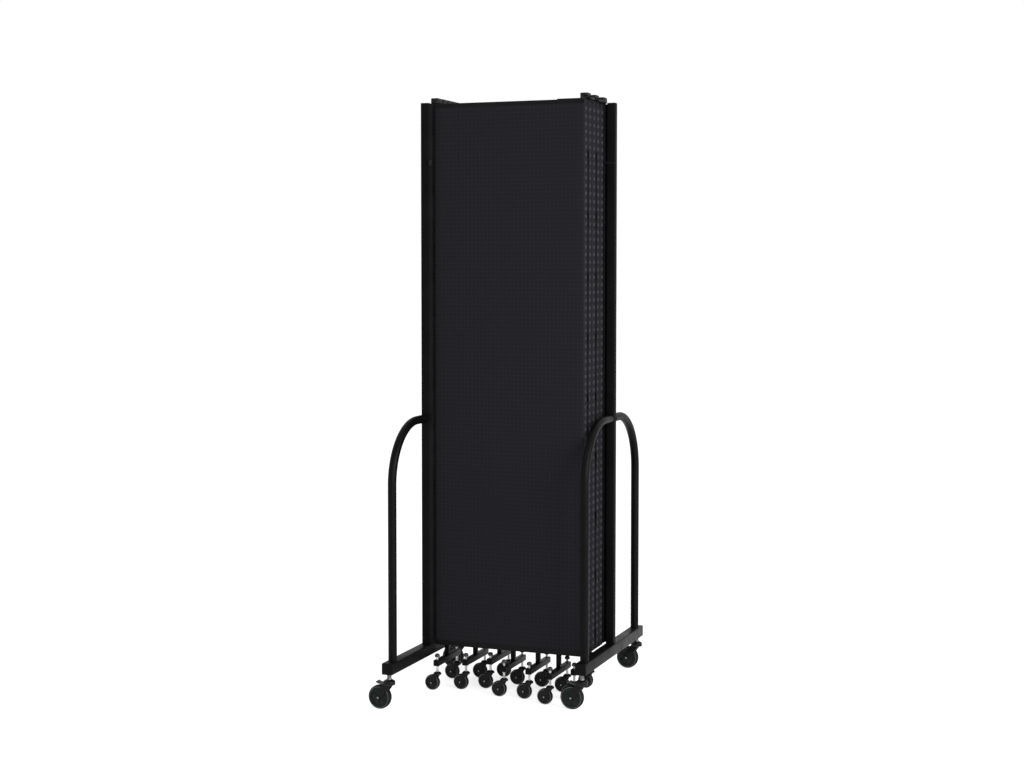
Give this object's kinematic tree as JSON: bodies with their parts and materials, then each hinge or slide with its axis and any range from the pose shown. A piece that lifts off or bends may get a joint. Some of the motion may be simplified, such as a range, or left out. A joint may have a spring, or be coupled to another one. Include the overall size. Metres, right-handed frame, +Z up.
{
  "type": "folding room divider",
  "caption": "Tall fabric-panel room divider that folds like an accordion between two hooped end frames, rolling on swivel casters.",
  "frame": {"origin": "on the floor, under the middle of the overall box of the folded divider", "axes": "+X along the panels' width, +Y to the back, +Z up from the floor"},
  "size_m": [0.6889, 0.879, 2.032],
  "materials": {
    "panel_fabric": "woven, matte",
    "rail_black": "black satin",
    "frame_paint": "satin powder coat",
    "fastener_black": "satin",
    "bar_black": "satin powder coat",
    "fork_black": "satin",
    "pedal_plastic": "satin",
    "wheel_rubber": "satin"
  },
  "bodies": {
    "left_end": {"left_post": "frame_paint", "left_base_tube": "frame_paint", "left_hoops": "frame_paint", "left_fasteners": "fastener_black", "fabric_panel_1": "panel_fabric", "panel_frame_1": "rail_black", "caster_bars_1": "bar_black"},
    "panel_2": {"fabric_panel_2": "panel_fabric", "panel_frame_2": "rail_black", "caster_bars_2": "bar_black"},
    "panel_3": {"fabric_panel_3": "panel_fabric", "panel_frame_3": "rail_black", "caster_bars_3": "bar_black"},
    "panel_4": {"fabric_panel_4": "panel_fabric", "panel_frame_4": "rail_black", "caster_bars_4": "bar_black"},
    "right_end": {"right_post": "frame_paint", "right_base_tube": "frame_paint", "right_hoops": "frame_paint", "right_fasteners": "fastener_black", "fabric_panel_5": "panel_fabric", "panel_frame_5": "rail_black"},
    "left_front_swivel": {"left_front_fork": "fork_black"},
    "left_front_roller": {"left_front_wheel": "wheel_rubber"},
    "left_front_brake": {"left_front_pedal": "pedal_plastic"},
    "left_back_swivel": {"left_back_fork": "fork_black"},
    "left_back_roller": {"left_back_wheel": "wheel_rubber"},
    "right_front_swivel": {"right_front_fork": "fork_black"},
    "right_front_roller": {"right_front_wheel": "wheel_rubber"},
    "right_front_brake": {"right_front_pedal": "pedal_plastic"},
    "right_back_swivel": {"right_back_fork": "fork_black"},
    "right_back_roller": {"right_back_wheel": "wheel_rubber"},
    "bar1_front_swivel": {"bar1_front_fork": "fork_black"},
    "bar1_front_roller": {"bar1_front_wheel": "wheel_rubber"},
    "bar1_back_swivel": {"bar1_back_fork": "fork_black"},
    "bar1_back_roller": {"bar1_back_wheel": "wheel_rubber"},
    "bar2_front_swivel": {"bar2_front_fork": "fork_black"},
    "bar2_front_roller": {"bar2_front_wheel": "wheel_rubber"},
    "bar2_back_swivel": {"bar2_back_fork": "fork_black"},
    "bar2_back_roller": {"bar2_back_wheel": "wheel_rubber"},
    "bar3_front_swivel": {"bar3_front_fork": "fork_black"},
    "bar3_front_roller": {"bar3_front_wheel": "wheel_rubber"},
    "bar3_back_swivel": {"bar3_back_fork": "fork_black"},
    "bar3_back_roller": {"bar3_back_wheel": "wheel_rubber"},
    "bar4_front_swivel": {"bar4_front_fork": "fork_black"},
    "bar4_front_roller": {"bar4_front_wheel": "wheel_rubber"},
    "bar4_back_swivel": {"bar4_back_fork": "fork_black"},
    "bar4_back_roller": {"bar4_back_wheel": "wheel_rubber"},
    "bar5_front_swivel": {"bar5_front_fork": "fork_black"},
    "bar5_front_roller": {"bar5_front_wheel": "wheel_rubber"},
    "bar5_back_swivel": {"bar5_back_fork": "fork_black"},
    "bar5_back_roller": {"bar5_back_wheel": "wheel_rubber"},
    "bar6_front_swivel": {"bar6_front_fork": "fork_black"},
    "bar6_front_roller": {"bar6_front_wheel": "wheel_rubber"},
    "bar6_back_swivel": {"bar6_back_fork": "fork_black"},
    "bar6_back_roller": {"bar6_back_wheel": "wheel_rubber"},
    "bar7_front_swivel": {"bar7_front_fork": "fork_black"},
    "bar7_front_roller": {"bar7_front_wheel": "wheel_rubber"},
    "bar7_back_swivel": {"bar7_back_fork": "fork_black"},
    "bar7_back_roller": {"bar7_back_wheel": "wheel_rubber"}
  },
  "joints": [
    {"name": "fold_1", "type": "hinge", "parent": "left_end", "child": "panel_2", "pos_m": [0.30023, -0.0645, 0.153], "axis": [0, 0, -1], "range_deg": [0, 180]},
    {"name": "fold_2", "type": "hinge", "parent": "panel_2", "child": "panel_3", "pos_m": [-0.24577, -0.0215, 0.153], "axis": [0, 0, 1], "range_deg": [0, 180]},
    {"name": "fold_3", "type": "hinge", "parent": "panel_3", "child": "panel_4", "pos_m": [0.30023, 0.0215, 0.153], "axis": [0, 0, -1], "range_deg": [0, 180]},
    {"name": "fold_4", "type": "hinge", "parent": "panel_4", "child": "right_end", "pos_m": [-0.24577, 0.0645, 0.153], "axis": [0, 0, 1], "range_deg": [0, 180]},
    {"name": "left_front_turn", "type": "hinge", "parent": "left_end", "child": "left_front_swivel", "pos_m": [-0.27048, -0.4195, 0.083], "axis": [0, 0, 1], "continuous": true},
    {"name": "left_front_roll", "type": "hinge", "parent": "left_front_swivel", "child": "left_front_roller", "pos_m": [-0.30397, -0.4195, 0.04], "axis": [0, 1, 0], "continuous": true},
    {"name": "left_front_brake_press", "type": "hinge", "parent": "left_front_swivel", "child": "left_front_brake", "pos_m": [-0.28547, -0.4195, 0.0858], "axis": [0, -1, 0], "range_deg": [0, 8]},
    {"name": "left_back_turn", "type": "hinge", "parent": "left_end", "child": "left_back_swivel", "pos_m": [-0.27048, 0.1995, 0.083], "axis": [0, 0, 1], "continuous": true},
    {"name": "left_back_roll", "type": "hinge", "parent": "left_back_swivel", "child": "left_back_roller", "pos_m": [-0.30397, 0.1995, 0.04], "axis": [0, 1, 0], "continuous": true},
    {"name": "right_front_turn", "type": "hinge", "parent": "right_end", "child": "right_front_swivel", "pos_m": [0.32493, -0.1995, 0.083], "axis": [0, 0, 1], "continuous": true},
    {"name": "right_front_roll", "type": "hinge", "parent": "right_front_swivel", "child": "right_front_roller", "pos_m": [0.29142, -0.1995, 0.04], "axis": [0, 1, 0], "continuous": true},
    {"name": "right_front_brake_press", "type": "hinge", "parent": "right_front_swivel", "child": "right_front_brake", "pos_m": [0.30993, -0.1995, 0.0858], "axis": [0, -1, 0], "range_deg": [0, 8]},
    {"name": "right_back_turn", "type": "hinge", "parent": "right_end", "child": "right_back_swivel", "pos_m": [0.32493, 0.4195, 0.083], "axis": [0, 0, 1], "continuous": true},
    {"name": "right_back_roll", "type": "hinge", "parent": "right_back_swivel", "child": "right_back_roller", "pos_m": [0.29142, 0.4195, 0.04], "axis": [0, 1, 0], "continuous": true},
    {"name": "bar1_front_turn", "type": "hinge", "parent": "panel_2", "child": "bar1_front_swivel", "pos_m": [-0.22378, -0.13, 0.0555], "axis": [0, 0, 1], "continuous": true},
    {"name": "bar1_front_roll", "type": "hinge", "parent": "bar1_front_swivel", "child": "bar1_front_roller", "pos_m": [-0.24177, -0.13, 0.027], "axis": [0, 1, 0], "continuous": true},
    {"name": "bar1_back_turn", "type": "hinge", "parent": "panel_2", "child": "bar1_back_swivel", "pos_m": [-0.22378, 0.044, 0.0555], "axis": [0, 0, 1], "continuous": true},
    {"name": "bar1_back_roll", "type": "hinge", "parent": "bar1_back_swivel", "child": "bar1_back_roller", "pos_m": [-0.24177, 0.044, 0.027], "axis": [0, 1, 0], "continuous": true},
    {"name": "bar2_front_turn", "type": "hinge", "parent": "panel_3", "child": "bar2_front_swivel", "pos_m": [-0.13478, -0.087, 0.0555], "axis": [0, 0, 1], "continuous": true},
    {"name": "bar2_front_roll", "type": "hinge", "parent": "bar2_front_swivel", "child": "bar2_front_roller", "pos_m": [-0.15277, -0.087, 0.027], "axis": [0, 1, 0], "continuous": true},
    {"name": "bar2_back_turn", "type": "hinge", "parent": "panel_3", "child": "bar2_back_swivel", "pos_m": [-0.13478, 0.087, 0.0555], "axis": [0, 0, 1], "continuous": true},
    {"name": "bar2_back_roll", "type": "hinge", "parent": "bar2_back_swivel", "child": "bar2_back_roller", "pos_m": [-0.15277, 0.087, 0.027], "axis": [0, 1, 0], "continuous": true},
    {"name": "bar3_front_turn", "type": "hinge", "parent": "panel_4", "child": "bar3_front_swivel", "pos_m": [-0.06078, -0.044, 0.0555], "axis": [0, 0, 1], "continuous": true},
    {"name": "bar3_front_roll", "type": "hinge", "parent": "bar3_front_swivel", "child": "bar3_front_roller", "pos_m": [-0.07877, -0.044, 0.027], "axis": [0, 1, 0], "continuous": true},
    {"name": "bar3_back_turn", "type": "hinge", "parent": "panel_4", "child": "bar3_back_swivel", "pos_m": [-0.06078, 0.13, 0.0555], "axis": [0, 0, 1], "continuous": true},
    {"name": "bar3_back_roll", "type": "hinge", "parent": "bar3_back_swivel", "child": "bar3_back_roller", "pos_m": [-0.07877, 0.13, 0.027], "axis": [0, 1, 0], "continuous": true},
    {"name": "bar4_front_turn", "type": "hinge", "parent": "panel_2", "child": "bar4_front_swivel", "pos_m": [0.02322, -0.13, 0.0555], "axis": [0, 0, 1], "continuous": true},
    {"name": "bar4_front_roll", "type": "hinge", "parent": "bar4_front_swivel", "child": "bar4_front_roller", "pos_m": [0.00522, -0.13, 0.027], "axis": [0, 1, 0], "continuous": true},
    {"name": "bar4_back_turn", "type": "hinge", "parent": "panel_2", "child": "bar4_back_swivel", "pos_m": [0.02322, 0.044, 0.0555], "axis": [0, 0, 1], "continuous": true},
    {"name": "bar4_back_roll", "type": "hinge", "parent": "bar4_back_swivel", "child": "bar4_back_roller", "pos_m": [0.00522, 0.044, 0.027], "axis": [0, 1, 0], "continuous": true},
    {"name": "bar5_front_turn", "type": "hinge", "parent": "panel_2", "child": "bar5_front_swivel", "pos_m": [0.11422, -0.13, 0.0555], "axis": [0, 0, 1], "continuous": true},
    {"name": "bar5_front_roll", "type": "hinge", "parent": "bar5_front_swivel", "child": "bar5_front_roller", "pos_m": [0.09623, -0.13, 0.027], "axis": [0, 1, 0], "continuous": true},
    {"name": "bar5_back_turn", "type": "hinge", "parent": "panel_2", "child": "bar5_back_swivel", "pos_m": [0.11422, 0.044, 0.0555], "axis": [0, 0, 1], "continuous": true},
    {"name": "bar5_back_roll", "type": "hinge", "parent": "bar5_back_swivel", "child": "bar5_back_roller", "pos_m": [0.09623, 0.044, 0.027], "axis": [0, 1, 0], "continuous": true},
    {"name": "bar6_front_turn", "type": "hinge", "parent": "left_end", "child": "bar6_front_swivel", "pos_m": [0.20422, -0.173, 0.0555], "axis": [0, 0, 1], "continuous": true},
    {"name": "bar6_front_roll", "type": "hinge", "parent": "bar6_front_swivel", "child": "bar6_front_roller", "pos_m": [0.18623, -0.173, 0.027], "axis": [0, 1, 0], "continuous": true},
    {"name": "bar6_back_turn", "type": "hinge", "parent": "left_end", "child": "bar6_back_swivel", "pos_m": [0.20422, 0.001, 0.0555], "axis": [0, 0, 1], "continuous": true},
    {"name": "bar6_back_roll", "type": "hinge", "parent": "bar6_back_swivel", "child": "bar6_back_roller", "pos_m": [0.18623, 0.001, 0.027], "axis": [0, 1, 0], "continuous": true},
    {"name": "bar7_front_turn", "type": "hinge", "parent": "panel_3", "child": "bar7_front_swivel", "pos_m": [0.26022, -0.087, 0.0555], "axis": [0, 0, 1], "continuous": true},
    {"name": "bar7_front_roll", "type": "hinge", "parent": "bar7_front_swivel", "child": "bar7_front_roller", "pos_m": [0.24222, -0.087, 0.027], "axis": [0, 1, 0], "continuous": true},
    {"name": "bar7_back_turn", "type": "hinge", "parent": "panel_3", "child": "bar7_back_swivel", "pos_m": [0.26022, 0.087, 0.0555], "axis": [0, 0, 1], "continuous": true},
    {"name": "bar7_back_roll", "type": "hinge", "parent": "bar7_back_swivel", "child": "bar7_back_roller", "pos_m": [0.24222, 0.087, 0.027], "axis": [0, 1, 0], "continuous": true}
  ],
  "couplings": [
    {"joint": "fold_2", "follows": "fold_1", "ratio": 1},
    {"joint": "fold_3", "follows": "fold_1", "ratio": 1},
    {"joint": "fold_4", "follows": "fold_1", "ratio": 1}
  ]
}
